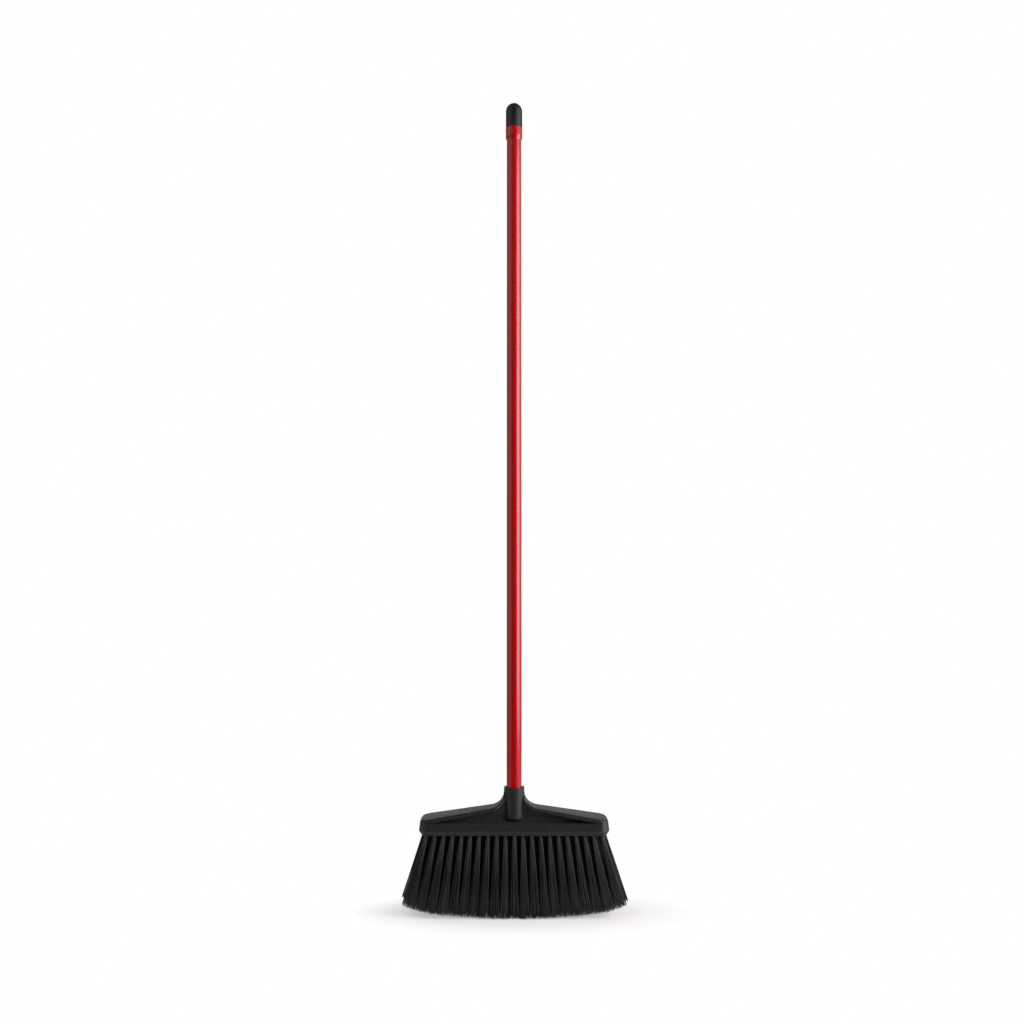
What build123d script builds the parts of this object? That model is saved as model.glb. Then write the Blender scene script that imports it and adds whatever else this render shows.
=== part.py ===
"""Upright broom: a threaded steel handle in a moulded block that carries flared tufts.

Millimetres. The origin is on the floor under the handle, +Z is up, X runs along the block
and the front faces -Y.
"""

import os
from math import acos, atan2, cos, hypot, isclose, radians, sin, sqrt, tan

from build123d import *

os.makedirs("parts", exist_ok=True)

# Tufts: four rows with one tuft to a column, the inner rows shifted by a share of the pitch
tuft_columns = 21
tuft_pitch = 14.47
inner_shift = 0.28
row_pitch = 11.0
tuft_length = 130.5
tuft_depth = 12.0
tip_pitch = 16.7
inner_tip_pitch = 17.33
tip_row_pitch = 18.6
tip_arc_radius = 850.0
tip_flat_depth = 0.5

# Strands: four three-sided rods carry the form of one tuft's filaments
strand_radius = 1.1
strand_root_step = 1.55
strand_tip_step_x = 5.8
strand_tip_step_y = 5.2
strand_bury = 2.0

# Anchors: a flat staple at the blind end of each tuft hole, across the block
anchor_length = 6.2
anchor_width = 2.2
anchor_thickness = 0.5
anchor_clearance = 0.1

# Block, lower band: the walls round the tuft field and the form of its sides
side_margin = 7.7
rim_width = 1.0
slice_clearance = 0.1
chamfer_inset = 4.5
chamfer_height = 6.5
band_height = 19.8
band_draft = 7.5
plan_corner = 16.0
band_round = 4.0

# Block, flange and web
flange_thickness = 4.4
flange_edge = 2.6
spring_half_depth = 2.0
waist_reach = 30.0
waist_half_depth = 18.4
waist_round = 16.0
wing_end_rise = 3.7
wing_angle = 9.0
neck_radius = 25.0
shoulder_rise = 6.5
shoulder_top_half = 9.0
web_thickness = 17.0
recess_reach = 136.0
recess_drop = 13.0
seat_overlap = 1.0

# Block, socket
collar_wall = 4.0
collar_height = 7.3
collar_edge = 1.0
boss_round = 8.0
mouth_chamfer = 0.8
insertion_depth = 15.0
socket_clearance = 0.4
bore_run_out = 3.5

# Handle tube and its film
tube_diameter = 24.8
tube_wall = 0.5
tube_length = 1177.7
film_thickness = 0.25
film_clearance = 0.05
film_lap = 15.8
film_draw_in = 7.0

# Threaded tip, with its shank at the diameter of the thread's crests
shoulder_thickness = 3.0
plug_length = 38.0
plug_clearance = 0.1
shank_diameter = 18.6
shank_length = 25.0
shank_chamfer = 2.0
shank_clearance = 0.3

# End cap
cap_wall = 1.8
cap_skirt_length = 47.0
cap_seat_rise = 3.0
cap_fit = 0.1

# Levels and half sizes that follow from the values above
block_bottom = tuft_length
slice_top = block_bottom + tuft_depth
band_widest = block_bottom + chamfer_height
ledge = block_bottom + band_height
draft_inset = (ledge - band_widest) * tan(radians(band_draft))

pocket_half_length = tuft_columns / 2 * tuft_pitch
pocket_half_depth = 1.5 * row_pitch + side_margin
band_half_length = pocket_half_length + rim_width + chamfer_inset
band_half_depth = pocket_half_depth + rim_width + chamfer_inset
slice_corner = plan_corner - chamfer_inset - rim_width

tube_radius = tube_diameter / 2
film_inner = tube_radius + film_clearance
film_outer = film_inner + film_thickness
socket_radius = film_outer + socket_clearance

flange_half_length = band_half_length - draft_inset
flange_half_depth = band_half_depth - draft_inset
flange_base = ledge - seat_overlap
collar_radius = socket_radius + collar_wall
slope = radians(wing_angle)
wing_end = ledge + wing_end_rise
neck_x = collar_radius + neck_radius
neck_z = wing_end + (flange_half_length - neck_x) * tan(slope) + neck_radius / cos(slope)
collar_top = neck_z + collar_height

tube_bottom = collar_top - insertion_depth
tube_top = tube_bottom + tube_length
socket_seat = tube_bottom - shoulder_thickness
tip_end = socket_seat - shank_length
shank_radius = shank_diameter / 2

cap_radius = tube_radius + cap_fit + cap_wall
dome_centre = tube_top - cap_seat_rise
skirt_bottom = dome_centre - cap_skirt_length
film_top = skirt_bottom + film_lap


def tuft_ends(column):
    """Root and tip centres of one column's tufts, with the inner rows shifted to either side."""
    step = column - (tuft_columns - 1) / 2
    rows = ((-1.5, 0, tip_pitch), (-0.5, inner_shift, inner_tip_pitch))
    rows += ((0.5, -inner_shift, inner_tip_pitch), (1.5, 0, tip_pitch))
    return [
        (((step + shift) * tuft_pitch, row * row_pitch), ((step + shift) * fan, row * tip_row_pitch))
        for row, shift, fan in rows
    ]


def tip_height(x):
    """Height of a strand's tip: the trimmed arc, cut flat where the broom stands."""
    return max(tip_arc_radius - sqrt(tip_arc_radius**2 - x**2) - tip_flat_depth, 0.0)


# Broom block: band, flange on a recessed web, and the socket boss in one moulding
with BuildPart() as broom_block:
    # Wings: the front outline rises from both ends to a concave neck under the collar
    with BuildSketch(Plane.XZ):
        with BuildLine():
            neck_foot = (neck_x - neck_radius * sin(slope), neck_z - neck_radius * cos(slope))
            wing_top = Line((flange_half_length, wing_end), neck_foot)
            TangentArc(neck_foot, (collar_radius, neck_z), tangent=wing_top % 1)
            Polyline(
                (collar_radius, neck_z),
                (0, neck_z),
                (0, flange_base),
                (flange_half_length, flange_base),
                (flange_half_length, wing_end),
            )
        make_face()
        mirror(about=Plane.YZ)
    extrude(amount=band_half_depth, both=True)
    # Plan of the flange: it springs from inside the boss, swells to a waist, and widens to the ends
    with BuildSketch(Plane.XY.offset(flange_base)) as flange_plan:
        with BuildLine():
            FilletPolyline(
                (0, spring_half_depth),
                (waist_reach, waist_half_depth),
                (flange_half_length, flange_half_depth),
                radius=waist_round,
            )
            Polyline(
                (flange_half_length, flange_half_depth),
                (flange_half_length, 0),
                (0, 0),
                (0, spring_half_depth),
            )
        make_face()
        mirror(about=Plane.YZ)
        mirror(about=Plane.XZ)
        ends = flange_plan.vertices().group_by(SortBy.DISTANCE)[-1]
        fillet(ends, plan_corner - draft_inset)
    extrude(amount=neck_z - flange_base, mode=Mode.INTERSECT)
    # Broken edge round the wings, without the seams that cross them
    rim = broom_block.edges().filter_by_position(Axis.Z, ledge, neck_z - flange_edge)
    across = rim.filter_by(Axis.Y).group_by(Axis.X)
    chamfer(rim - rim.filter_by(Axis.Y) - rim.filter_by(Axis.Z) + across[0] + across[-1], flange_edge)
    # Shoulders: the side outline draws in towards the collar
    with BuildSketch(Plane.YZ):
        with BuildLine():
            shoulder_foot = (band_half_depth, ledge + shoulder_rise)
            TangentArc(shoulder_foot, (shoulder_top_half, neck_z), tangent=(0, 1))
            Polyline(
                (shoulder_top_half, neck_z),
                (0, neck_z),
                (0, flange_base),
                (band_half_depth, flange_base),
                shoulder_foot,
            )
        make_face()
        mirror(about=Plane.YZ)
    extrude(amount=band_half_length, both=True, mode=Mode.INTERSECT)
    # Recess in front and behind, under the flange, down to the web
    with BuildSketch(Plane.front.offset(web_thickness / 2), Plane.back.offset(web_thickness / 2)):
        with BuildLine():
            recess_radius = neck_radius + flange_thickness
            reach_x = recess_reach - neck_x
            reach_z = ledge - neck_z
            turn = atan2(reach_z, reach_x) - acos(recess_radius / hypot(reach_x, reach_z))
            recess_foot = (neck_x + recess_radius * cos(turn), neck_z + recess_radius * sin(turn))
            recess_level = neck_z - recess_drop
            recess_top = (neck_x - sqrt(recess_radius**2 - recess_drop**2), recess_level)
            underside = Line((recess_reach, ledge), recess_foot)
            TangentArc(recess_foot, recess_top, tangent=underside % 1)
            Polyline(recess_top, (0, recess_level), (0, ledge), (recess_reach, ledge))
        make_face()
        mirror(about=Plane.YZ)
    extrude(amount=band_half_depth, mode=Mode.SUBTRACT)
    # Band: drafted sides above its widest line, a chamfer below, rounded between them
    for level, inset in ((block_bottom, chamfer_inset), (band_widest, 0), (ledge, draft_inset)):
        with BuildSketch(Plane.XY.offset(level)):
            RectangleRounded(
                2 * (band_half_length - inset), 2 * (band_half_depth - inset), plan_corner - inset
            )
    loft(ruled=True)
    widest = broom_block.edges().filter_by(lambda edge: isclose(edge.center().Z, band_widest))
    fillet(widest, band_round)
    # Boss and collar: a round post, domed at its foot
    with BuildSketch(Plane.XZ) as boss_section:
        with Locations((0, flange_base)):
            Rectangle(collar_radius, collar_top - flange_base, align=(Align.MIN, Align.MIN))
        outer = boss_section.vertices().group_by(Axis.X)[-1].sort_by(Axis.Y)
        fillet(outer[0], boss_round)
        chamfer(outer[-1], collar_edge)
    revolve(axis=Axis.Z)
    # Socket for the tube end and the threaded shank
    with Locations((0, 0, collar_top)):
        CounterBoreHole(
            radius=shank_radius + shank_clearance,
            counter_bore_radius=socket_radius,
            counter_bore_depth=collar_top - socket_seat,
            depth=collar_top - tip_end + bore_run_out,
        )
    mouth = broom_block.edges().group_by(Axis.Z)[-1].sort_by(SortBy.LENGTH)[0]
    chamfer(mouth, mouth_chamfer)
    # Pocket that the tuft slices fill
    with BuildSketch(Plane.XY.offset(block_bottom)):
        RectangleRounded(
            2 * (pocket_half_length + slice_clearance),
            2 * (pocket_half_depth + slice_clearance),
            slice_corner + slice_clearance,
        )
    extrude(amount=tuft_depth, mode=Mode.SUBTRACT)
broom_block.part.label = "broom_block"
export_step(broom_block.part, "parts/broom_block.step")

# Tuft columns: each is a slice of the block's underside with its strands
for column in range(tuft_columns):
    middle = (column - (tuft_columns - 1) / 2) * tuft_pitch
    with BuildPart() as tuft_column:
        with BuildSketch(Plane.XY.offset(block_bottom)):
            RectangleRounded(2 * pocket_half_length, 2 * pocket_half_depth, slice_corner)
            with Locations((middle, 0)):
                Rectangle(tuft_pitch, 2 * pocket_half_depth, mode=Mode.INTERSECT)
        extrude(amount=tuft_depth)
        with Locations(*[(x, y, slice_top) for (x, y), tip in tuft_ends(column)]):
            Box(
                anchor_thickness + 2 * anchor_clearance,
                anchor_length + 2 * anchor_clearance,
                anchor_width + anchor_clearance,
                align=(Align.CENTER, Align.CENTER, Align.MAX),
                mode=Mode.SUBTRACT,
            )
        strands = []
        for root_centre, tip_centre in tuft_ends(column):
            for i, j in ((-1, -1), (1, -1), (1, 1), (-1, 1)):
                root_x = root_centre[0] + i * strand_root_step
                root_y = root_centre[1] + j * strand_root_step
                root = Vector(root_x, root_y, block_bottom + strand_bury)
                tip_x = tip_centre[0] + i * strand_tip_step_x
                tip_y = tip_centre[1] + j * strand_tip_step_y
                run = Vector(tip_x, tip_y, tip_height(tip_x)) - root
                with BuildSketch(Plane.XY.offset(root.Z)):
                    with Locations((root.X, root.Y)):
                        RegularPolygon(strand_radius, side_count=3, rotation=90 - 90 * i)
                strands.append(extrude(amount=run.length, dir=run, mode=Mode.PRIVATE))
        add(strands)
    name = f"tuft_column_{column + 1:02d}"
    tuft_column.part.label = name
    export_step(tuft_column.part, f"parts/{name}.step")

# Tuft anchors: one staple at the root of every tuft
with BuildPart() as tuft_anchors:
    tufts = [tuft for column in range(tuft_columns) for tuft in tuft_ends(column)]
    with Locations(*[(x, y, slice_top) for (x, y), tip in tufts]):
        Box(
            anchor_thickness,
            anchor_length,
            anchor_width,
            align=(Align.CENTER, Align.CENTER, Align.MAX),
        )
tuft_anchors.part.label = "tuft_anchors"
export_step(tuft_anchors.part, "parts/tuft_anchors.step")

# Threaded tip: a plug in the tube, a shoulder under its end, and the shank that screws into the block
with BuildPart() as threaded_tip:
    with BuildSketch(Plane.XZ):
        with BuildLine():
            plug_radius = tube_radius - tube_wall - plug_clearance
            Polyline(
                (0, tip_end),
                (shank_radius - shank_chamfer, tip_end),
                (shank_radius, tip_end + shank_chamfer),
                (shank_radius, socket_seat),
                (tube_radius, socket_seat),
                (tube_radius, tube_bottom),
                (plug_radius, tube_bottom),
                (plug_radius, tube_bottom + plug_length),
                (0, tube_bottom + plug_length),
                close=True,
            )
        make_face()
    revolve(axis=Axis.Z)
threaded_tip.part.label = "threaded_tip"
export_step(threaded_tip.part, "parts/threaded_tip.step")

# Handle tube: thin drawn steel
with BuildPart() as handle_tube:
    with BuildSketch(Plane.XY.offset(tube_bottom)):
        Circle(tube_radius)
        Circle(tube_radius - tube_wall, mode=Mode.SUBTRACT)
    extrude(amount=tube_length)
handle_tube.part.label = "handle_tube"
export_step(handle_tube.part, "parts/handle_tube.step")

# End cap: a skirt over the tube's top and a domed crown
with BuildPart() as end_cap:
    with BuildSketch(Plane.XZ):
        with BuildLine():
            bore = tube_radius + cap_fit
            CenterArc((0, dome_centre), cap_radius, 0, 90)
            Polyline(
                (0, dome_centre + cap_radius),
                (0, tube_top),
                (bore, tube_top),
                (bore, skirt_bottom),
                (cap_radius, skirt_bottom),
                (cap_radius, dome_centre),
            )
        make_face()
    revolve(axis=Axis.Z)
end_cap.part.label = "end_cap"
export_step(end_cap.part, "parts/end_cap.step")

# Handle film: a shrunk sleeve over the tube that laps the cap's skirt
with BuildPart() as handle_film:
    with BuildSketch(Plane.XZ):
        with BuildLine():
            lap_inner = cap_radius + film_clearance
            lap_outer = lap_inner + film_thickness
            Polyline(
                (film_inner, tube_bottom),
                (film_inner, skirt_bottom - film_draw_in),
                (lap_inner, skirt_bottom),
                (lap_inner, film_top),
                (lap_outer, film_top),
                (lap_outer, skirt_bottom),
                (film_outer, skirt_bottom - film_draw_in),
                (film_outer, tube_bottom),
                close=True,
            )
        make_face()
    revolve(axis=Axis.Z)
handle_film.part.label = "handle_film"
export_step(handle_film.part, "parts/handle_film.step")
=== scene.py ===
import math

import bpy
import numpy as np
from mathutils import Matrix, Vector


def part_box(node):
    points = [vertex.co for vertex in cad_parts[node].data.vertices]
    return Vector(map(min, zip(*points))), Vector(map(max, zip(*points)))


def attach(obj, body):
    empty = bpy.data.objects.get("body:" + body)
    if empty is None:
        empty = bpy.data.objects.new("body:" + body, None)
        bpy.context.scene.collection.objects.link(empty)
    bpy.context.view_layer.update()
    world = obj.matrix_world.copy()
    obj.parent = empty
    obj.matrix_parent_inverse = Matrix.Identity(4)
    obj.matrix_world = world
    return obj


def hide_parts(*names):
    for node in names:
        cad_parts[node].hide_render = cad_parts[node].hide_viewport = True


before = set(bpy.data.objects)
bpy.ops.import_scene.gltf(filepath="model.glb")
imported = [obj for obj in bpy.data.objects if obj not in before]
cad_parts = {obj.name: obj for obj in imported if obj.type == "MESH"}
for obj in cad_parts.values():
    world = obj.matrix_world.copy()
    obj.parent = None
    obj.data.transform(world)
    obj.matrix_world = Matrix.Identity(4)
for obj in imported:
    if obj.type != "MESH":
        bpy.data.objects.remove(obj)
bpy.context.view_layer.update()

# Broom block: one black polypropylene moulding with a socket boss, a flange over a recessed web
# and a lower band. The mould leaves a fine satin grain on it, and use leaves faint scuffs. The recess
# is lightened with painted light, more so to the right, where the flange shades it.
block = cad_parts["broom_block"]
block_shading_angle = math.radians(50)
merge_distance = 1e-5
block_black = (0.0145, 0.0145, 0.0145)
block_scuff_grey = (0.026, 0.026, 0.0255)
block_gloss = (0.36, 0.48)
block_grain_depth = 0.00012
noise_range = (0.3, 0.7)
rising = (0.0, 1.0)
falling = (1.0, 0.0)
ledge_level = 0.1503
recess_reach = 0.136
web_half_depth = 0.0085
# Painted light in the recess: a paler grey on the ledge and the web's foot lifts their shade, and a paler
# one still on the web to the right, where the flange shades it.
recess_light_grey = (0.038, 0.0365, 0.036)
recess_light_skin = 0.0004
recess_light_height = 0.02
recess_light_half_depth = 0.027
recess_light_front_fade = 0.003
recess_light_end_fade = 0.004
right_recess_light_grey = (0.068, 0.0655, 0.065)
right_recess_light_reach = (0.02, 0.06)


def fill_inputs(tree, node, inputs):
    """Give a node's inputs plain values or other nodes' outputs."""
    for key, value in inputs.items():
        if isinstance(value, bpy.types.NodeSocket):
            tree.links.new(value, node.inputs[key])
        else:
            node.inputs[key].default_value = value


def add_node(tree, kind, inputs=None, **settings):
    """Add a node with its settings and its inputs."""
    made = tree.nodes.new(kind)
    for key, value in settings.items():
        setattr(made, key, value)
    fill_inputs(tree, made, inputs or {})
    return made


def shade_by_angle(obj, angle):
    """Join a node's loose triangles in a modifier, and keep sharp only the edges that turn by more."""
    tree = bpy.data.node_groups.new(obj.name + "_shading", "GeometryNodeTree")
    tree.interface.new_socket("Geometry", in_out="INPUT", socket_type="NodeSocketGeometry")
    tree.interface.new_socket("Geometry", in_out="OUTPUT", socket_type="NodeSocketGeometry")
    given = add_node(tree, "NodeGroupInput")
    joined = add_node(
        tree, "GeometryNodeMergeByDistance", {"Geometry": given.outputs[0], "Distance": merge_distance}
    )
    turned = add_node(tree, "GeometryNodeInputMeshEdgeAngle")
    sharp = add_node(
        tree,
        "FunctionNodeCompare",
        {0: turned.outputs[0], 1: angle},
        data_type="FLOAT",
        operation="GREATER_THAN",
    )
    smooth = add_node(
        tree, "GeometryNodeSetShadeSmooth", {0: joined.outputs[0], "Shade Smooth": True}, domain="FACE"
    )
    split = add_node(
        tree,
        "GeometryNodeSetShadeSmooth",
        {0: smooth.outputs[0], "Selection": sharp.outputs[0], "Shade Smooth": False},
        domain="EDGE",
    )
    add_node(tree, "NodeGroupOutput", {0: split.outputs[0]})
    modifier = obj.modifiers.new("shading", "NODES")
    modifier.node_group = tree


def start_material(name):
    """A node material, with its tree, its shader and the object's own coordinates."""
    material = bpy.data.materials.new(name)
    material.use_nodes = True
    tree = material.node_tree
    place = add_node(tree, "ShaderNodeTexCoord").outputs["Object"]
    return material, tree, tree.nodes["Principled BSDF"], place


def noise(tree, place, scale, detail, stretch=None):
    """A noise value over the object's coordinates. A stretch below 1 draws it out along that axis."""
    if stretch:
        place = add_node(tree, "ShaderNodeMapping", {"Vector": place, "Scale": stretch}).outputs[0]
    return add_node(
        tree, "ShaderNodeTexNoise", {"Vector": place, "Scale": scale, "Detail": detail}
    ).outputs["Fac"]


def remap(tree, value, source, target):
    """Carry a value's source range over to the target range, and hold it at the ends."""
    limits = zip(("From Min", "From Max", "To Min", "To Max"), (*source, *target))
    return add_node(tree, "ShaderNodeMapRange", {"Value": value, **dict(limits)}).outputs[0]


def blend_colours(tree, amount, first, second):
    """First colour where the amount is 0, second where it is 1. Each is a colour or an output.

    The node's inputs 6 and 7 take the colours, and its output 2 gives their blend.
    """
    first, second = (
        colour if isinstance(colour, bpy.types.NodeSocket) else (*colour, 1) for colour in (first, second)
    )
    inputs = {"Factor": amount, 6: first, 7: second}
    return add_node(tree, "ShaderNodeMix", inputs, data_type="RGBA").outputs[2]


def combine(tree, operation, *values):
    """A chain of one math operation over several outputs or plain numbers."""
    result = values[0]
    for value in values[1:]:
        result = add_node(tree, "ShaderNodeMath", {0: result, 1: value}, operation=operation).outputs[0]
    return result


def bump(tree, height, strength, distance):
    """A normal that is tilted by the slope of a height."""
    inputs = {"Height": height, "Strength": strength, "Distance": distance}
    return add_node(tree, "ShaderNodeBump", inputs).outputs[0]


def recess_painted_light(tree, place):
    """Amount and tone of painted light in the recess: all on the ledge and the web's foot, up which it
    fades.

    On the web it is paler to the right, where the flange shades it.
    """
    part = add_node(tree, "ShaderNodeSeparateXYZ", {0: place}).outputs
    width, depth = (
        add_node(tree, "ShaderNodeMath", {0: part[axis]}, operation="ABSOLUTE").outputs[0] for axis in "XY"
    )
    near_ledge = (ledge_level + recess_light_skin, ledge_level + 2 * recess_light_skin)
    front_edge = (recess_light_half_depth - recess_light_front_fade, recess_light_half_depth)
    on_ledge = combine(
        tree,
        "MULTIPLY",
        remap(tree, part["Z"], near_ledge, falling),
        remap(tree, depth, front_edge, falling),
    )
    near_web = (web_half_depth + recess_light_skin, web_half_depth + 2 * recess_light_skin)
    on_web = combine(
        tree,
        "MULTIPLY",
        remap(tree, part["Z"], (ledge_level, ledge_level + recess_light_height), falling),
        remap(tree, depth, near_web, falling),
    )
    amount = combine(
        tree,
        "MULTIPLY",
        combine(tree, "MAXIMUM", on_ledge, on_web),
        remap(tree, part["Z"], (ledge_level - recess_light_skin / 2, ledge_level), rising),
        remap(tree, width, (recess_reach - recess_light_end_fade, recess_reach), falling),
    )
    stronger = combine(
        tree,
        "MULTIPLY",
        remap(tree, part["X"], right_recess_light_reach, rising),
        remap(tree, part["Z"], (ledge_level + recess_light_skin, ledge_level + 3 * recess_light_skin), rising),
    )
    return amount, blend_colours(tree, stronger, recess_light_grey, right_recess_light_grey)


def moulded_black(name, deep, worn, gloss, grain_depth, painted_light=None):
    """Black moulded plastic: clouded tone and gloss, satin grain, paler scuffs along X, and any painted
    light given.
    """
    material, tree, shader, place = start_material(name)
    cloud = remap(tree, noise(tree, place, scale=30.0, detail=4.0), noise_range, (0.0, 0.45))
    scratch = noise(tree, place, scale=55.0, detail=6.0, stretch=(0.25, 1.6, 1.6))
    scuff = remap(tree, scratch, (0.56, 0.74), rising)
    tone = blend_colours(tree, scuff, blend_colours(tree, cloud, deep, worn), worn)
    # Any painted light is blended over the plastic's tone.
    if painted_light:
        amount, painted_light_tone = painted_light(tree, place)
        tone = blend_colours(tree, amount, tone, painted_light_tone)
    satin = noise(tree, place, scale=140.0, detail=3.0)
    grain = noise(tree, place, scale=1500.0, detail=2.0)
    look = {
        "Base Color": tone,
        "Roughness": remap(tree, satin, noise_range, gloss),
        "Specular IOR Level": 0.6,
        "Normal": bump(tree, grain, strength=0.35, distance=grain_depth),
    }
    fill_inputs(tree, shader, look)
    return material


# The block's skin carries the painted light in its recess.
block_skin = moulded_black(
    "block_skin", block_black, block_scuff_grey, block_gloss, block_grain_depth, recess_painted_light
)
block.data.materials.clear()
block.data.materials.append(block_skin)
shade_by_angle(block, block_shading_angle)
even = block.modifiers.new("even_normals", "WEIGHTED_NORMAL")
even.mode = "FACE_AREA"
even.keep_sharp = True

# Underside of the block: the drilled face of the same moulding, between the walls of the band.
# Each blind hole has a short countersink, and takes one tuft.
underside_level = 0.13052
underside_back = 0.1424
underside_half_length = 0.15223
underside_half_depth = 0.0245
underside_corner = 0.0108
underside_sharp = math.radians(40)
hole_radius = 0.00325
hole_depth = 0.0062
hole_wall = 0.0007
hole_rim = 0.6 * hole_wall
tuft_columns = 21
tuft_pitch = 0.01447
inner_shift = 0.28
row_pitch = 0.011
tip_pitch = 0.0167
inner_tip_pitch = 0.01733
tip_row_pitch = 0.0178
end_splay = 0.035


def tuft_places(column):
    """Root and tip centres of a column's four tufts, and how much wider than the rest their tips are.

    The inner two are shifted to either side. The outer two lean out by the fourth power of their place,
    and widen by the slope of that, so that they still meet their neighbours.
    """
    rows = np.array([-1.5, -0.5, 0.5, 1.5])
    outer = np.abs(rows) > 1
    places = column - (tuft_columns - 1) / 2 + inner_shift * np.array([0, 1, -1, 0])
    lean = outer * end_splay * (places / (tuft_columns // 2)) ** 4
    fan = np.where(outer, tip_pitch, inner_tip_pitch) * (1 + lean)
    roots = np.stack([places * tuft_pitch, rows * row_pitch], axis=1)
    tips = np.stack([places * fan, rows * tip_row_pitch], axis=1)
    return roots, tips, 1 + 5 * lean


def ring_faces(rings, sides, lofts=1, closed_path=False):
    """Quads between neighbouring rings of points, for one or more lofts that follow each other."""
    ring = np.arange(rings if closed_path else rings - 1)[:, None]
    side = np.arange(sides)[None, :]
    after = (ring + 1) % rings
    beside = (side + 1) % sides
    corners = [ring * sides + side, ring * sides + beside, after * sides + beside, after * sides + side]
    quads = np.stack(corners, axis=-1).reshape(1, -1, 4)
    first = np.arange(lofts)[:, None, None] * rings * sides
    return (quads + first).reshape(-1, 4).tolist()


def end_faces(rings, sides, lofts=1):
    """The faces that close the first and the last ring of each loft."""
    first = np.arange(lofts)[:, None] * rings * sides
    start = first + np.arange(sides)[None, ::-1]
    finish = first + (rings - 1) * sides + np.arange(sides)[None, :]
    return np.concatenate([start, finish]).tolist()


def make_piece(name, points, faces, material, body, sharp):
    """A smooth mesh object at the origin that rides on a body; edges that turn past sharp stay sharp."""
    mesh = bpy.data.meshes.new(name)
    mesh.from_pydata(np.reshape(points, (-1, 3)).tolist(), [], faces)
    mesh.polygons.foreach_set("use_smooth", np.ones(len(mesh.polygons), dtype=bool))
    mesh.set_sharp_from_angle(angle=sharp)
    mesh.materials.append(material)
    piece = bpy.data.objects.new(name, mesh)
    bpy.context.scene.collection.objects.link(piece)
    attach(piece, body)
    return piece


def underside_points(along, across):
    """Height field of the drilled face, as closed sections along X.

    Points near a hole's rim are drawn onto its circle, the height rises to the hole's end inside it,
    and two more points close each section along the back.
    """
    x = np.linspace(-underside_half_length, underside_half_length, along)[:, None]
    past = np.clip(np.abs(x) - (underside_half_length - underside_corner), 0, underside_corner)
    half = underside_half_depth - underside_corner + np.sqrt(underside_corner**2 - past**2)
    y = np.linspace(-1, 1, across)[None, :] * half
    spots = np.stack(np.broadcast_arrays(x, y), axis=-1)
    roots = np.concatenate([tuft_places(column)[0] for column in range(tuft_columns)])
    offsets = spots[:, :, None, :] - roots
    reach = np.hypot(offsets[..., 0], offsets[..., 1])
    nearest = reach.argmin(axis=2)[..., None]
    distance = np.take_along_axis(reach, nearest, axis=2)
    centre = roots[nearest[..., 0]]
    on_rim = np.abs(distance - hole_radius) < hole_rim
    onto_circle = hole_radius / np.maximum(distance, merge_distance)
    drawn = np.where(on_rim, centre + (spots - centre) * onto_circle, spots)
    inside = np.where(on_rim, 0, np.clip((hole_radius - distance) / hole_wall, 0, 1))
    face = np.concatenate([drawn, underside_level + hole_depth * inside], axis=2)
    back = face[:, [-1, 0], :].copy()
    back[..., 2] = underside_back
    return np.concatenate([face, back], axis=1)


underside_grid = underside_points(along=409, across=67)
rings, sides = underside_grid.shape[:2]
make_piece(
    "block_underside",
    underside_grid,
    [face[::-1] for face in ring_faces(rings, sides) + end_faces(rings, sides)],
    block_skin,
    "head",
    underside_sharp,
)

# Tuft anchors: short lengths of flat galvanised wire, cut and driven into the bottom of each hole
# over the folded tuft. They are held by the plastic that they bite into.
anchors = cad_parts["tuft_anchors"]
staple_bright = (0.62, 0.62, 0.6)
staple_dull = (0.4, 0.4, 0.39)
staple_gloss = (0.25, 0.42)
staple_stretch = (1.0, 0.08, 1.0)


def bare_steel(name, bright, dull, gloss, stretch):
    """Steel with a zinc bloom: spangled tone, and drawing lines along the axis of least stretch."""
    material, tree, shader, place = start_material(name)
    spangle = remap(tree, noise(tree, place, scale=220.0, detail=3.0), (0.35, 0.65), rising)
    lines = noise(tree, place, scale=900.0, detail=2.0, stretch=stretch)
    look = {
        "Base Color": blend_colours(tree, spangle, dull, bright),
        "Roughness": remap(tree, lines, noise_range, gloss),
        "Normal": bump(tree, lines, strength=0.2, distance=0.00005),
        "Metallic": 1.0,
    }
    fill_inputs(tree, shader, look)
    return material


anchors.data.materials.clear()
anchors.data.materials.append(
    bare_steel("staple_wire", staple_bright, staple_dull, staple_gloss, staple_stretch)
)

# Tufts: bundles of black extruded filament, folded over their staples so that they fan out of the
# holes, then trimmed together to a shallow arc. The cut ends stay a little ragged.
filaments_in_tuft = 108
filament_radius = 0.00033
filament_sharp = math.radians(100)
fan_rings = np.array([0.0, 0.16, 0.34, 0.52, 0.7, 0.86, 1.0])
fan_level = 0.1312
root_level = 0.1358
root_spread = np.array([0.0026, 0.003, 0.003, 0.0026])[:, None, None]
root_scatter = 0.00012
tip_half_width = 0.0088
tip_half_depth = 0.0095
tip_squareness = 0.85
tip_scatter = 0.00038
stray_scatter = 0.0009
stray_share = 0.04
tuft_lean = np.array([0.00015, 0.0011])
lean_limit = 1.5
depth_flare = 1.5
tip_slope = 0.055
tip_bend = 0.015
tip_end_rise = 0.0115
tip_end_reach = 0.18
tip_flat_depth = 0.0005
cut_roughness = 0.0003
bow_depth = 0.0005
wave_depth = 0.00022
wave_count = (1.0, 2.2)
filament_dark = (0.005, 0.0049, 0.005)
filament_pale = (0.0365, 0.035, 0.0345)
# Painted highlight: a paler grey at the outer rows' roots.
root_highlight_grey = (0.085, 0.081, 0.08)
cut_end_grey = (0.1, 0.0965, 0.095)
filament_dust = (0.034, 0.033, 0.032)
filament_gloss = (0.36, 0.52)
# Painted shade: the inner rows keep only this share of the tone, the root highlight and the pale end.
inner_row_light_share = 0.12
scatter_seed = 21


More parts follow.
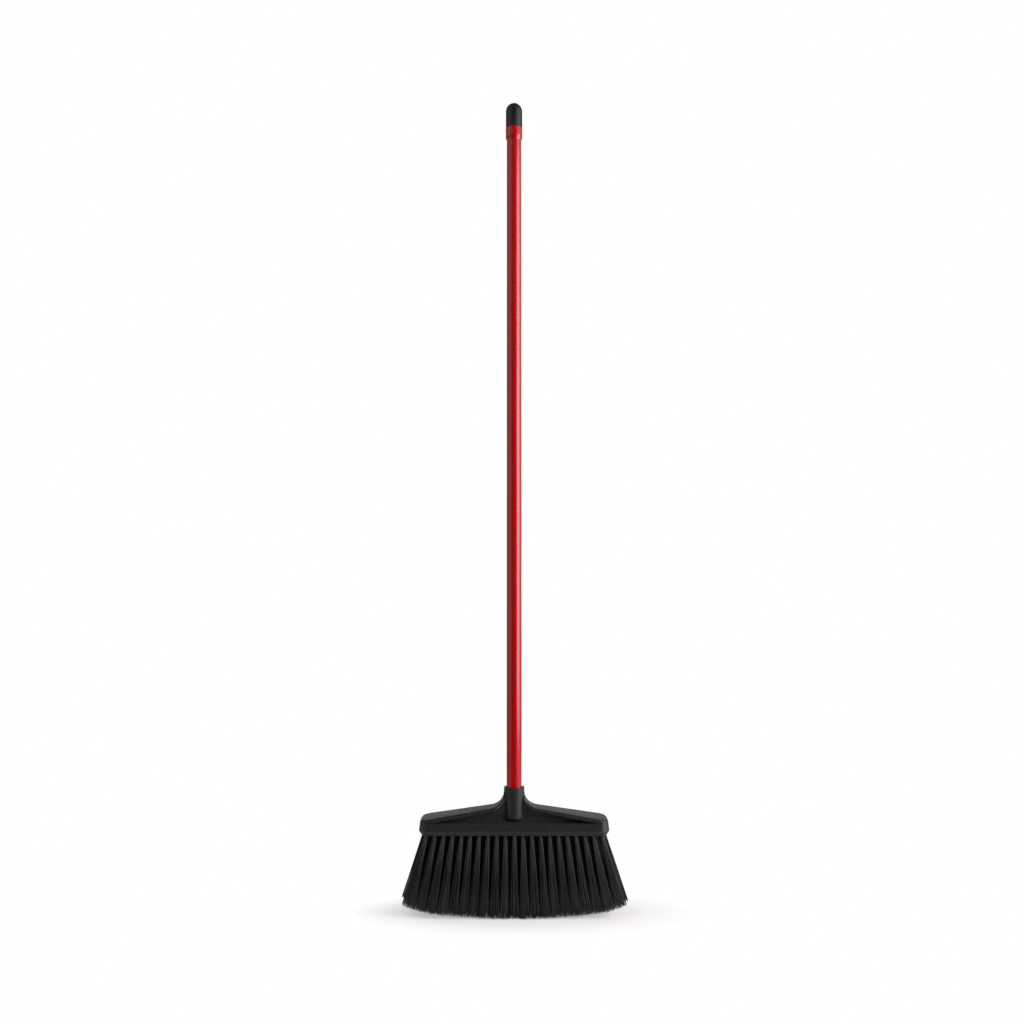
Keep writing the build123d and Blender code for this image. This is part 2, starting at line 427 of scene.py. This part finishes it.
def filament_material():
    """Black filament in its own tone, dusty and glossier in streaks, and paler towards the cut end.

    Outer rows get a painted highlight at the root; inner rows are darkened as painted shade.
    """
    material, tree, shader, place = start_material("filament_black")
    shade, rise, row_light = (
        add_node(tree, "ShaderNodeAttribute", attribute_name=name).outputs["Fac"]
        for name in ("shade", "rise", "row_light")
    )
    streak = noise(tree, place, scale=160.0, detail=3.0, stretch=(1.0, 1.0, 0.12))
    tone = blend_colours(tree, shade, filament_dark, filament_pale)
    # Painted highlight: the outer rows' filaments are painted paler towards the root.
    root_highlight = combine(tree, "MULTIPLY", row_light, remap(tree, rise, (0.5, 1.0), (0.0, 0.8)))
    tone = blend_colours(tree, root_highlight, tone, root_highlight_grey)
    # Paler towards the cut end, held down in the inner rows by their painted shade.
    paler_end = combine(tree, "MULTIPLY", row_light, shade, remap(tree, rise, (0.0, 0.4), (0.7, 0.0)))
    tone = blend_colours(tree, paler_end, tone, cut_end_grey)
    dusty = remap(tree, streak, (0.5, 0.8), (0.0, 0.35))
    look = {
        "Base Color": blend_colours(tree, dusty, tone, filament_dust),
        "Roughness": remap(tree, streak, noise_range, filament_gloss),
    }
    fill_inputs(tree, shader, look)
    return material


def filament_points(roots, tips, widening, draw):
    """Rings of four points up every filament of a column, from the cut end to the hole.

    Filaments stand on a sunflower disc in the hole, and the disc is spread to a cell with squarer
    corners at the tips. Between them each runs straight along X and flares by a power in depth, with a
    slight bow and wave. The cut is a hyperbola along X, with a sixth power that lifts the ends.
    """
    turn = np.arange(filaments_in_tuft) * math.pi * (3 - math.sqrt(5))
    reach = np.sqrt((np.arange(filaments_in_tuft) + 0.5) / filaments_in_tuft)
    disc = np.stack([reach * np.cos(turn), reach * np.sin(turn)], axis=1)
    squared = disc * (reach / np.abs(disc).max(axis=1))[:, None] ** tip_squareness
    many = (len(roots), filaments_in_tuft)
    root = roots[:, None, :] + disc * root_spread + draw.normal(0, root_scatter, (*many, 2))
    half_cell = np.stack([tip_half_width * widening, tip_half_depth + 0 * widening], axis=1)
    scatter = np.where(draw.random((*many, 1)) < stray_share, stray_scatter, tip_scatter)
    leaning = tips + np.clip(draw.normal(0, 1, tips.shape), -lean_limit, lean_limit) * tuft_lean
    tip = leaning[:, None, :] + squared * half_cell[:, None, :] + draw.normal(0, 1, (*many, 2)) * scatter
    trim = tip_slope * (np.hypot(tip[..., 0], tip_bend) - tip_bend) - tip_flat_depth
    trim = trim + tip_end_rise * (tip[..., 0] / tip_end_reach) ** 6
    tip_level = np.maximum(trim, 0) + draw.exponential(cut_roughness, many)
    low = np.concatenate([tip, tip_level[..., None]], axis=2).reshape(-1, 1, 3)
    high = np.concatenate([root, np.full((*many, 1), fan_level)], axis=2).reshape(-1, 1, 3)
    each = (len(low), 1, 1)
    rise = fan_rings[None, :, None]
    line = low + (high - low) * rise ** np.array([1.0, depth_flare, 1.0])
    aim = draw.uniform(0, 2 * math.pi, each)
    bow = draw.normal(0, bow_depth, each) * 4 * rise * (1 - rise)
    swing = rise * draw.uniform(*wave_count, each) + draw.random(each)
    wave = wave_depth * np.sin(2 * math.pi * swing) * (1 - rise)
    sway = (bow + wave) * np.concatenate([np.cos(aim), np.sin(aim), 0 * aim], axis=2)
    held = high.copy()
    held[..., 2] = root_level
    line = np.concatenate([line + sway, held], axis=1)
    corner = aim + np.arange(4) * math.pi / 2
    ring = np.stack([np.cos(corner), np.sin(corner), 0 * corner], axis=-1)
    return line[:, :, None, :] + ring * filament_radius


def give_attribute(piece, name, values):
    """A named value on every point of a piece, for its material to read."""
    piece.data.attributes.new(name, "FLOAT", "POINT").data.foreach_set("value", values)


filament_black = filament_material()
# Painted shade: each row's share of painted tone and highlight, small for the inner rows so that they look
# shaded behind the outer ones.
row_light_share = np.repeat([1.0, inner_row_light_share, inner_row_light_share, 1.0], filaments_in_tuft)
ring_rise = np.append(fan_rings, 1.0)
draw = np.random.default_rng(scatter_seed)
for column in range(tuft_columns):
    points = filament_points(*tuft_places(column), draw)
    count, rings, sides = points.shape[:3]
    tufts = make_piece(
        f"tuft_filaments_{column + 1:02d}",
        points,
        ring_faces(rings, sides, count) + end_faces(rings, sides, count),
        filament_black,
        "head",
        filament_sharp,
    )
    # Random tone for each filament, scaled down in the inner rows as painted shade.
    give_attribute(tufts, "shade", np.repeat(draw.random(count) * row_light_share, rings * sides))
    give_attribute(tufts, "row_light", np.repeat(row_light_share, rings * sides))
    give_attribute(tufts, "rise", np.tile(np.repeat(ring_rise, sides), count))
    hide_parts(f"tuft_column_{column + 1:02d}")

# Threaded tip: a black moulded plug held in the tube's end, with a shoulder under the tube and a
# coarse right-hand thread that screws into the block.
tip_low, tip_high = (np.array(corner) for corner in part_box("threaded_tip"))
turned_sharp = math.radians(35)
shank_length = 0.025
shank_radius = 0.0093
thread_depth = 0.0014
thread_lead = 0.00508
thread_crest = 1.9
thread_flank = 5.75
thread_stop = 0.0015
thread_run_out = 0.003
lead_in_depth = 0.002
shoulder_thickness = 0.003
shoulder_radius = 0.0124
plug_radius = 0.0118
edge_break = 0.0005
tip_black = (0.011, 0.011, 0.011)
tip_scuff_grey = (0.03, 0.03, 0.03)
tip_gloss = (0.3, 0.42)
turned_grain_depth = 0.0001


def turned_points(radii, heights, sides):
    """A profile of radii and heights turned about the Z axis. A radius may also vary round it."""
    angle = np.arange(sides) * 2 * math.pi / sides
    radius = np.broadcast_to(np.reshape(radii, (len(heights), -1)), (len(heights), sides))
    level = np.broadcast_to(np.reshape(heights, (len(heights), 1)), radius.shape)
    return np.stack([radius * np.cos(angle), radius * np.sin(angle), level], axis=-1)


def tip_points(shank_rings, sides):
    """Shank with a helical thread, then shoulder and plug.

    The thread's phase is the height in leads less the share of a turn, its form a trapezium of that
    phase, and it is held under a lead-in cone at the end and fades out below the shoulder.
    """
    seat = tip_low[2] + shank_length
    shank = np.linspace(tip_low[2], seat, shank_rings)
    angle = np.arange(sides) * 2 * math.pi / sides
    phase = ((shank[:, None] - tip_low[2]) / thread_lead - angle / (2 * math.pi)) % 1
    form = np.clip(thread_crest - thread_flank * np.abs(phase - 0.5), 0, 1)
    fade = np.clip((seat - thread_stop - shank[:, None]) / thread_run_out, 0, 1)
    lead_in = shank_radius - lead_in_depth + (shank[:, None] - tip_low[2])
    threaded = np.minimum(shank_radius - thread_depth * (1 - form * fade), lead_in)
    tube_end = seat + shoulder_thickness
    top = tip_high[2]
    radii = [
        shoulder_radius - edge_break, shoulder_radius, shoulder_radius, plug_radius,
        plug_radius, plug_radius - edge_break, plug_radius - 2 * edge_break,
    ]
    heights = [
        seat, seat + edge_break, tube_end, tube_end,
        top - 2 * edge_break, top - edge_break / 2, top,
    ]
    radius = np.concatenate([threaded, np.repeat(np.array(radii)[:, None], sides, axis=1)])
    return turned_points(radius, np.concatenate([shank, heights]), sides)


tip_grid = tip_points(shank_rings=121, sides=72)
rings, sides = tip_grid.shape[:2]
screw_tip = make_piece(
    "handle_screw_tip",
    tip_grid,
    ring_faces(rings, sides) + end_faces(rings, sides),
    moulded_black("tip_skin", tip_black, tip_scuff_grey, tip_gloss, turned_grain_depth),
    "handle",
    turned_sharp,
)
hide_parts("threaded_tip")

# Handle tube: thin welded steel, drawn to size. The film hides it, and its ends are under the cap
# and round the threaded tip.
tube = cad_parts["handle_tube"]
tube_shading_angle = math.radians(28)
tube_bright = (0.56, 0.56, 0.57)
tube_dull = (0.42, 0.42, 0.42)
tube_gloss = (0.22, 0.36)
tube_stretch = (1.0, 1.0, 0.02)
tube.data.materials.clear()
tube.data.materials.append(
    bare_steel("tube_steel_drawn", tube_bright, tube_dull, tube_gloss, tube_stretch)
)
shade_by_angle(tube, tube_shading_angle)

# End cap: a black moulded cap with a domed crown, pushed over the tube's top before the film is
# shrunk on, so that the film laps its skirt.
cap_low, cap_high = (np.array(corner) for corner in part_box("end_cap"))
cap_radius = cap_high[0]
cap_bore = 0.0125
dome_centre = cap_high[2] - cap_radius
cap_seat = dome_centre + 0.003
cap_side_margin = 0.004
crown_pole = 0.0001
cap_black = (0.0105, 0.0105, 0.0105)
cap_scuff_grey = (0.026, 0.026, 0.026)
cap_gloss = (0.32, 0.44)


def cap_points(side_rings, dome_rings, sides):
    """The cap's profile turned: out along the seat, down the bore, round the skirt and over a dome."""
    dome = np.linspace(0, math.pi / 2, dome_rings)[:-1]
    radii = np.concatenate([
        [crown_pole, cap_bore, cap_bore, cap_radius - edge_break, cap_radius],
        np.full(side_rings, cap_radius), cap_radius * np.cos(dome), [crown_pole],
    ])
    heights = np.concatenate([
        [cap_seat, cap_seat, cap_low[2], cap_low[2], cap_low[2] + edge_break],
        np.linspace(cap_low[2] + cap_side_margin, dome_centre - cap_side_margin, side_rings),
        dome_centre + cap_radius * np.sin(dome), [dome_centre + cap_radius],
    ])
    return turned_points(radii, heights, sides)


cap_grid = cap_points(side_rings=8, dome_rings=25, sides=72)
rings, sides = cap_grid.shape[:2]
cap = make_piece(
    "handle_cap",
    cap_grid,
    ring_faces(rings, sides) + end_faces(rings, sides),
    moulded_black("cap_skin", cap_black, cap_scuff_grey, cap_gloss, turned_grain_depth),
    "handle",
    turned_sharp,
)
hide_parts("end_cap")

# Handle film: a red plastic sleeve shrunk over the tube and over the cap's skirt, where its cut
# edge stops below the dome. It is glossy, with faint lines along its length from the shrinking.
film_low, film_high = (np.array(corner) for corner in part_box("handle_film"))
film_radius = 0.0127
film_thickness = 0.00025
film_cut_edge = 0.0003
lap_radius = film_high[0]
lap_foot = cap_low[2]
draw_in = 0.007
draw_in_power = 1.6
ripple_depth = 0.00002
film_deep_red = (0.59, 0.0021, 0.0056)
film_bright_red = (0.645, 0.0028, 0.0075)
film_gloss = (0.22, 0.3)


def film_points(tube_rings, draw_in_rings, lap_rings, sides):
    """Sleeve profile turned: the outside falls from the lap to the tube on a half cosine.

    A sum of slow waves round it and along it moves the wall by some hundredths of a millimetre.
    """
    length = np.concatenate([
        np.linspace(film_low[2], lap_foot - draw_in, tube_rings)[:-1],
        np.linspace(lap_foot - draw_in, lap_foot, draw_in_rings)[:-1],
        np.linspace(lap_foot, film_high[2] - film_cut_edge, lap_rings),
        [film_high[2]],
    ])
    fall = np.clip((length - lap_foot + draw_in) / draw_in, 0, 1)
    ease = np.where(fall < 1, 0.5 - 0.5 * np.cos(math.pi * fall**draw_in_power), 1)
    outside = film_radius + (lap_radius - film_radius) * ease
    angle = np.arange(sides) * 2 * math.pi / sides
    level = length[:, None]
    two_lobes = np.sin(2 * angle + 31 * level)
    three_lobes = np.sin(3 * angle - 17 * level + 1.3)
    short_wave = 0.6 * np.sin(90 * level + angle)
    ripple = ripple_depth * (two_lobes + three_lobes + short_wave)
    outer = outside[:, None] + ripple * (1 - ease[:, None])
    inner = np.repeat((outside - film_thickness)[:, None], sides, axis=1)
    radii = np.concatenate([inner[::-1], outer])
    heights = np.concatenate([length[::-1], length])
    return turned_points(radii, heights, sides)


def film_material():
    """Red film: a deep red with a tinted under-gloss and a clear coat, and fine lines along Z."""
    material, tree, shader, place = start_material("film_red")
    cloud = noise(tree, place, scale=9.0, detail=3.0, stretch=(1.0, 1.0, 0.4))
    lines = noise(tree, place, scale=420.0, detail=2.0, stretch=(1.0, 1.0, 0.015))
    cloudy = remap(tree, cloud, noise_range, rising)
    look = {
        "Base Color": blend_colours(tree, cloudy, film_deep_red, film_bright_red),
        "Roughness": remap(tree, lines, noise_range, film_gloss),
        "Normal": bump(tree, lines, strength=0.12, distance=0.00005),
        "Metallic": 0.1,
        "Coat Weight": 1.0,
        "Coat Roughness": 0.13,
    }
    fill_inputs(tree, shader, look)
    return material


film_grid = film_points(tube_rings=140, draw_in_rings=12, lap_rings=10, sides=96)
film = make_piece(
    "handle_film_sleeve",
    film_grid,
    ring_faces(*film_grid.shape[:2], closed_path=True),
    film_material(),
    "handle",
    turned_sharp,
)
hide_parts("handle_film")

# Studio floor: a white sheet with a glow of its own, which is weakest under the bristles so that
# their shadow shows. Further off it is plain white, and from below it is clear.
floor_half_width = 0.9
floor_front = -0.45
floor_back = 1.5
floor_in_mirror = 0.08
floor_white = (0.9, 0.9, 0.9)
floor_near_grey = (0.85, 0.85, 0.85)
floor_far_grey = (0.55, 0.55, 0.55)
floor_glow = (0.38, 0.6)


def looked_at(tree, in_mirror):
    """One for what the camera sees, straight or through glass, and a share of it in reflections."""
    path = add_node(tree, "ShaderNodeLightPath").outputs
    mirrored = combine(tree, "MULTIPLY", path["Is Glossy Ray"], in_mirror)
    return combine(tree, "MAXIMUM", path["Is Camera Ray"], path["Is Transmission Ray"], mirrored)


def oval_distance(tree, place, shift, half_width, half_depth):
    """Distance from the middle of an oval on the floor, in shares of its half sizes, as the shift is."""
    oval = {"Location": (shift, 0.0, 0.0), "Scale": (1 / half_width, 1 / half_depth, 0.0)}
    spot = add_node(tree, "ShaderNodeMapping", {"Vector": place, **oval}).outputs[0]
    return add_node(tree, "ShaderNodeVectorMath", {0: spot}, operation="LENGTH").outputs["Value"]


def mix_shaders(tree, amount, first, second):
    """First shader where the amount is 0, second where it is 1."""
    inputs = {0: amount, 1: first.outputs[0], 2: second.outputs[0]}
    return add_node(tree, "ShaderNodeMixShader", inputs)


def floor_material():
    """White paint to the light that falls on it, and to the camera a greyer paint that glows.

    Away from the bristles it is greyer still and glows more, and further off it turns plain white.
    """
    material, tree, shader, place = start_material("floor_paint")
    seen = looked_at(tree, floor_in_mirror)
    beside = oval_distance(tree, place, shift=-0.2, half_width=0.2, half_depth=0.05)
    apart = remap(tree, beside, (0.8, 1.6), rising)
    seen_grey = blend_colours(tree, apart, floor_near_grey, floor_far_grey)
    look = {
        "Base Color": blend_colours(tree, seen, floor_white, seen_grey),
        "Roughness": 0.9,
        "Specular IOR Level": 0.0,
        "Emission Color": (1, 1, 1, 1),
        "Emission Strength": combine(tree, "MULTIPLY", seen, remap(tree, apart, rising, floor_glow)),
    }
    fill_inputs(tree, shader, look)
    away = oval_distance(tree, place, shift=-0.095, half_width=0.21, half_depth=0.08)
    plain = combine(tree, "MULTIPLY", remap(tree, away, (0.85, 1.4), rising), seen)
    white = add_node(tree, "ShaderNodeEmission", {"Color": (1, 1, 1, 1), "Strength": 1.0})
    from_below = add_node(tree, "ShaderNodeNewGeometry").outputs["Backfacing"]
    clear = add_node(tree, "ShaderNodeBsdfTransparent")
    surface = mix_shaders(tree, from_below, mix_shaders(tree, plain, shader, white), clear)
    tree.links.new(surface.outputs[0], tree.nodes["Material Output"].inputs["Surface"])
    return material


floor_corners = [
    (-floor_half_width, floor_front, 0),
    (floor_half_width, floor_front, 0),
    (floor_half_width, floor_back, 0),
    (-floor_half_width, floor_back, 0),
]
floor_mesh = bpy.data.meshes.new("studio_floor")
floor_mesh.from_pydata(floor_corners, [], [(0, 1, 2, 3)])
floor_mesh.materials.append(floor_material())
floor = bpy.data.objects.new("studio_floor", floor_mesh)
bpy.context.scene.collection.objects.link(floor)

# Studio air: a surround that is white to the camera. As light it is dark behind the camera,
# overhead and underfoot, and brighter to the sides and the back. On the left it is lifted in front
# of the broom and lowered behind it. A side level goes with a share of the way to the back.
studio_tint = (1.0, 0.93, 0.955)
behind_camera_level = 0.03
back_level = 0.6
side_levels = ((0.06, 0.04), (0.165, 0.29), (0.37, 0.45), (0.62, 0.3), (0.8, 0.32))
overhead_dim = 0.3
underfoot_dim = 0.35
left_lift = 0.4
left_drop_share = 0.8

world = bpy.data.worlds.new("studio_air")
bpy.context.scene.world = world
world.use_nodes = True
air = world.node_tree
towards = add_node(air, "ShaderNodeTexCoord").outputs["Generated"]
facing = add_node(air, "ShaderNodeSeparateXYZ", {0: towards}).outputs
ramp = add_node(air, "ShaderNodeValToRGB", {0: remap(air, facing["Y"], (-1.0, 1.0), rising)})
front, back = ramp.color_ramp.elements
front.color = (behind_camera_level, behind_camera_level, behind_camera_level, 1)
back.color = (back_level, back_level, back_level, 1)
for turned, level in side_levels:
    ramp.color_ramp.elements.new(turned).color = (level, level, level, 1)
dim_above = remap(air, facing["Z"], (0.5, 0.95), (1.0, overhead_dim))
dim_below = remap(air, facing["Z"], (-0.25, -0.05), (underfoot_dim, 1.0))
on_left = remap(air, facing["X"], (-0.7, -0.1), (left_lift, 0.0))
in_front = remap(air, facing["Y"], (-0.1, 0.4), (1.0, -left_drop_share))
left_inputs = {0: on_left, 1: in_front, 2: 1.0}
lit_left = add_node(air, "ShaderNodeMath", left_inputs, operation="MULTIPLY_ADD").outputs[0]
air_level = combine(air, "MULTIPLY", ramp.outputs[0], lit_left, dim_above, dim_below)
seen = looked_at(air, in_mirror=0.0)
backdrop = add_node(air, "ShaderNodeMix", {"Factor": seen, 2: air_level, 3: 1.0}, data_type="FLOAT")
air_look = {"Color": blend_colours(air, seen, studio_tint, (1, 1, 1)), "Strength": backdrop.outputs[0]}
fill_inputs(air, air.nodes["Background"], air_look)

# Studio lamp: one large soft box with a brighter core, on the right of the camera and tilted
# slightly down at the broom.
lamp_side = math.radians(67)
lamp_tilt = math.radians(85)
lamp_distance = 2.2
lamp_height = 1.08
lamp_parts = (("soft_lamp", 2.0, 2.3, 2.7), ("soft_lamp_core", 1.4, 1.1, 4.8))
for name, width, height, radiance in lamp_parts:
    lamp_data = bpy.data.lights.new(name, "AREA")
    lamp_data.shape = "RECTANGLE"
    lamp_data.size = width
    lamp_data.size_y = height
    lamp_data.energy = radiance * math.pi * width * height
    lamp_data.color = studio_tint
    lamp = bpy.data.objects.new(name, lamp_data)
    bpy.context.scene.collection.objects.link(lamp)
    lamp.location = (
        lamp_distance * math.sin(lamp_side), -lamp_distance * math.cos(lamp_side), lamp_height
    )
    lamp.rotation_euler = (lamp_tilt, 0, lamp_side)

# Camera: in front of the broom and below the middle of its handle, tilted slightly up. Its place
# and its focal length are fitted to the picture.
camera_place = (-0.0036, -1.68, 0.559)
camera_tilt_degrees = 3.6
sensor_width_mm = 36.0
picture_width_px = 1024
focal_length_px = 990

camera_data = bpy.data.cameras.new("camera")
camera_data.sensor_width = sensor_width_mm
camera_data.lens = sensor_width_mm * focal_length_px / picture_width_px
camera = bpy.data.objects.new("camera", camera_data)
camera.location = camera_place
camera.rotation_euler = (math.radians(90 + camera_tilt_degrees), 0, 0)
bpy.context.scene.collection.objects.link(camera)
bpy.context.scene.camera = camera
bpy.context.scene.view_settings.view_transform = "Standard"
